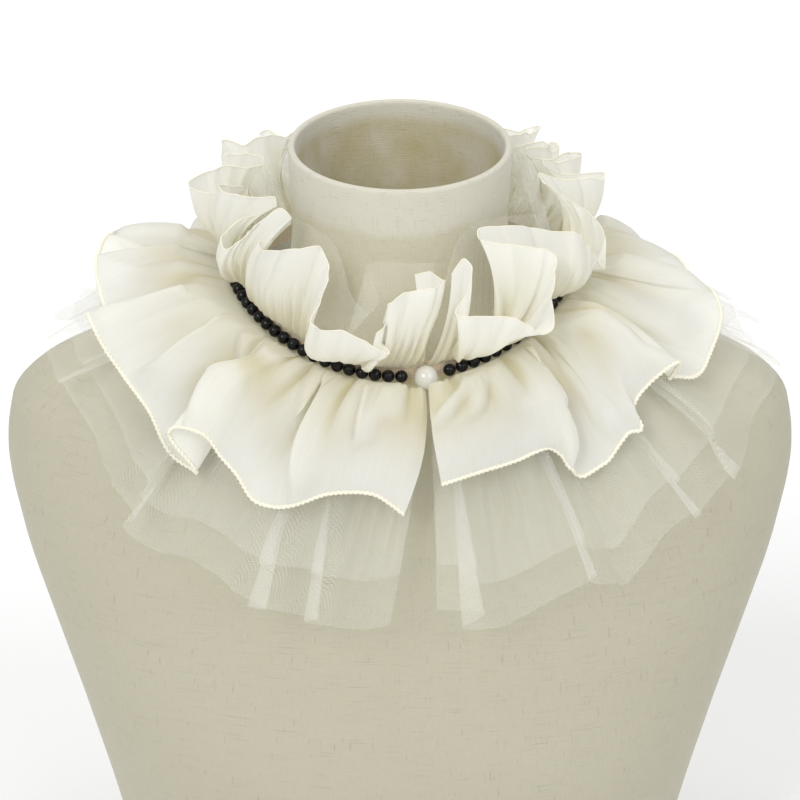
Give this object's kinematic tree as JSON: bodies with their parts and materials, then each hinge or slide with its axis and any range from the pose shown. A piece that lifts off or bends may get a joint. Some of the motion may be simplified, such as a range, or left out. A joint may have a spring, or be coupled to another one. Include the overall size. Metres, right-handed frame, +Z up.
{
  "type": "ruffled detachable chiffon and net collar on a dress form",
  "caption": "Detachable collar of gathered chiffon and fine net frills on a ribbon band, with a string of black beads and a pearl button, shown on a limbless linen-covered dress form.",
  "frame": {"origin": "middle of the dress form's flat base, which stands on the floor", "axes": "+Z up the neck, -Y towards the front where the collar buttons, +X towards the viewer's right"},
  "size_m": [0.388, 0.292, 0.4348],
  "materials": {
    "linen": "plain woven linen, matt",
    "ribbon": "beige ribbon",
    "jet_beads": "polished black",
    "pearl": "lustrous white",
    "net": "fine sheer net",
    "chiffon": "thin translucent chiffon"
  },
  "bodies": {
    "root": {"dress_form": "linen", "neck_band": "ribbon", "bead_string": "jet_beads", "pearl_button": "pearl", "net_frill_long": "net", "net_frill_short": "net", "chiffon_frill_falling": "chiffon", "chiffon_frill_standing": "chiffon", "net_frill_standing": "net"}
  },
  "joints": []
}
